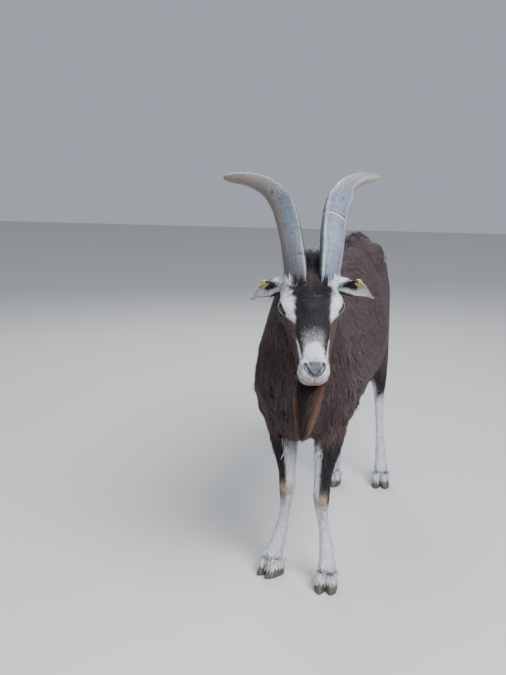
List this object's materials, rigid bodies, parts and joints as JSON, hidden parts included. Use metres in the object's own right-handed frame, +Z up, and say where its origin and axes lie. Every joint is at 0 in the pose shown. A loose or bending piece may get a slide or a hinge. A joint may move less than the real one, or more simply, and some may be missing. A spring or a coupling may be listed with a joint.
{
  "type": "goat",
  "caption": "Life-size standing goat model, horned and bearded, with a striped face, brown wavy coat, pale lower legs and a tag in each ear.",
  "frame": {"origin": "on the floor, under the middle of the goat's box", "axes": "+Z up; the goat faces -Y, and its left side is +X"},
  "size_m": [0.3556, 1.2998, 0.9802],
  "materials": {
    "brown_coat": "wavy brown hair",
    "dark_coat": "black-brown hair",
    "white_coat": "short white hair",
    "horn": "fibrous horn, satin",
    "claw": "dark claw horn",
    "eye": "wet, glossy",
    "ear_tag": "pale yellow, satin"
  },
  "bodies": {
    "root": {"head": "brown_coat", "neck": "brown_coat", "chest": "brown_coat", "barrel": "brown_coat", "rump": "brown_coat", "tail": "dark_coat", "fore_left_forearm": "dark_coat", "fore_right_forearm": "dark_coat", "hind_left_thigh": "dark_coat", "hind_right_thigh": "dark_coat", "jaw": "white_coat", "ear_left": "white_coat", "ear_right": "white_coat", "fore_left_cannon": "white_coat", "fore_left_pastern": "white_coat", "fore_right_cannon": "white_coat", "fore_right_pastern": "white_coat", "hind_left_cannon": "white_coat", "hind_left_pastern": "white_coat", "hind_right_cannon": "white_coat", "hind_right_pastern": "white_coat", "horn_left": "horn", "horn_right": "horn", "fore_left_claw_inner": "claw", "fore_left_claw_outer": "claw", "fore_right_claw_inner": "claw", "fore_right_claw_outer": "claw", "hind_left_claw_inner": "claw", "hind_left_claw_outer": "claw", "hind_right_claw_inner": "claw", "hind_right_claw_outer": "claw", "eye_left": "eye", "eye_right": "eye", "ear_tag_left": "ear_tag", "ear_tag_right": "ear_tag"}
  },
  "joints": []
}
